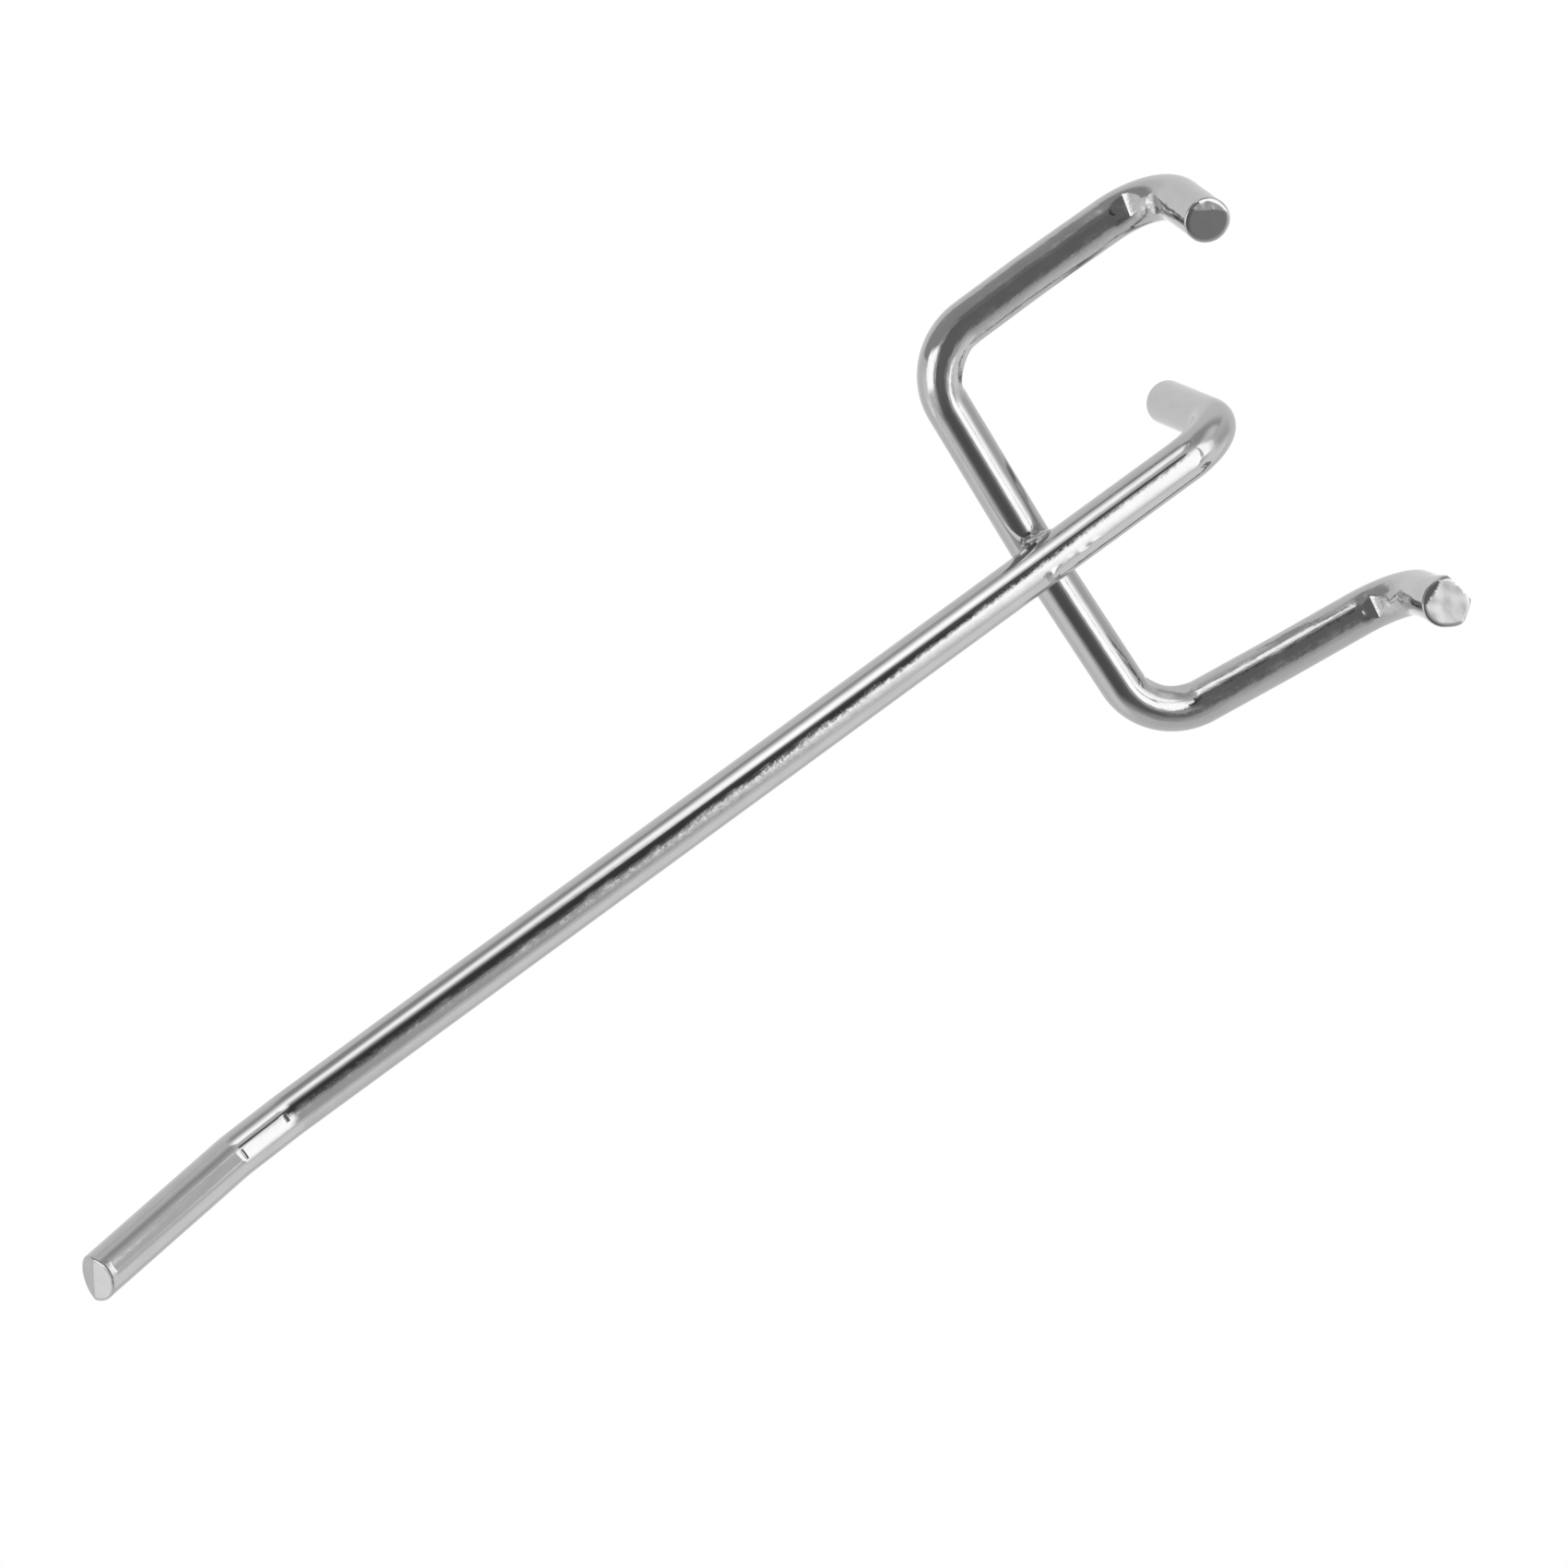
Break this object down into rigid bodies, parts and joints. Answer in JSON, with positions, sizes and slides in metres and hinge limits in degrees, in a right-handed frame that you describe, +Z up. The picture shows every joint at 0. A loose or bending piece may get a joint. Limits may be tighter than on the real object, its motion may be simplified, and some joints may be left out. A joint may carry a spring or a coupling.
{
  "type": "pegboard hook",
  "caption": "Chrome-plated steel wire hook with a long prong and a welded rear bracket whose two pegs hook behind a perforated board to hang goods.",
  "frame": {"origin": "on the board's front face, level with the cross bar and in line with its middle", "axes": "+Y into the board, away from the prong's tip; +Z up, the way the pegs point; +X to the right as seen from in front of the board"},
  "size_m": [0.0585, 0.1643, 0.0346],
  "materials": {
    "chrome_wire": "bright chrome plating on drawn steel wire",
    "chrome_weld": "bright plating on rough squeezed-out weld metal"
  },
  "bodies": {
    "root": {"prong_wire": "chrome_wire", "cross_wire": "chrome_wire", "weld_bead": "chrome_weld"}
  },
  "joints": []
}
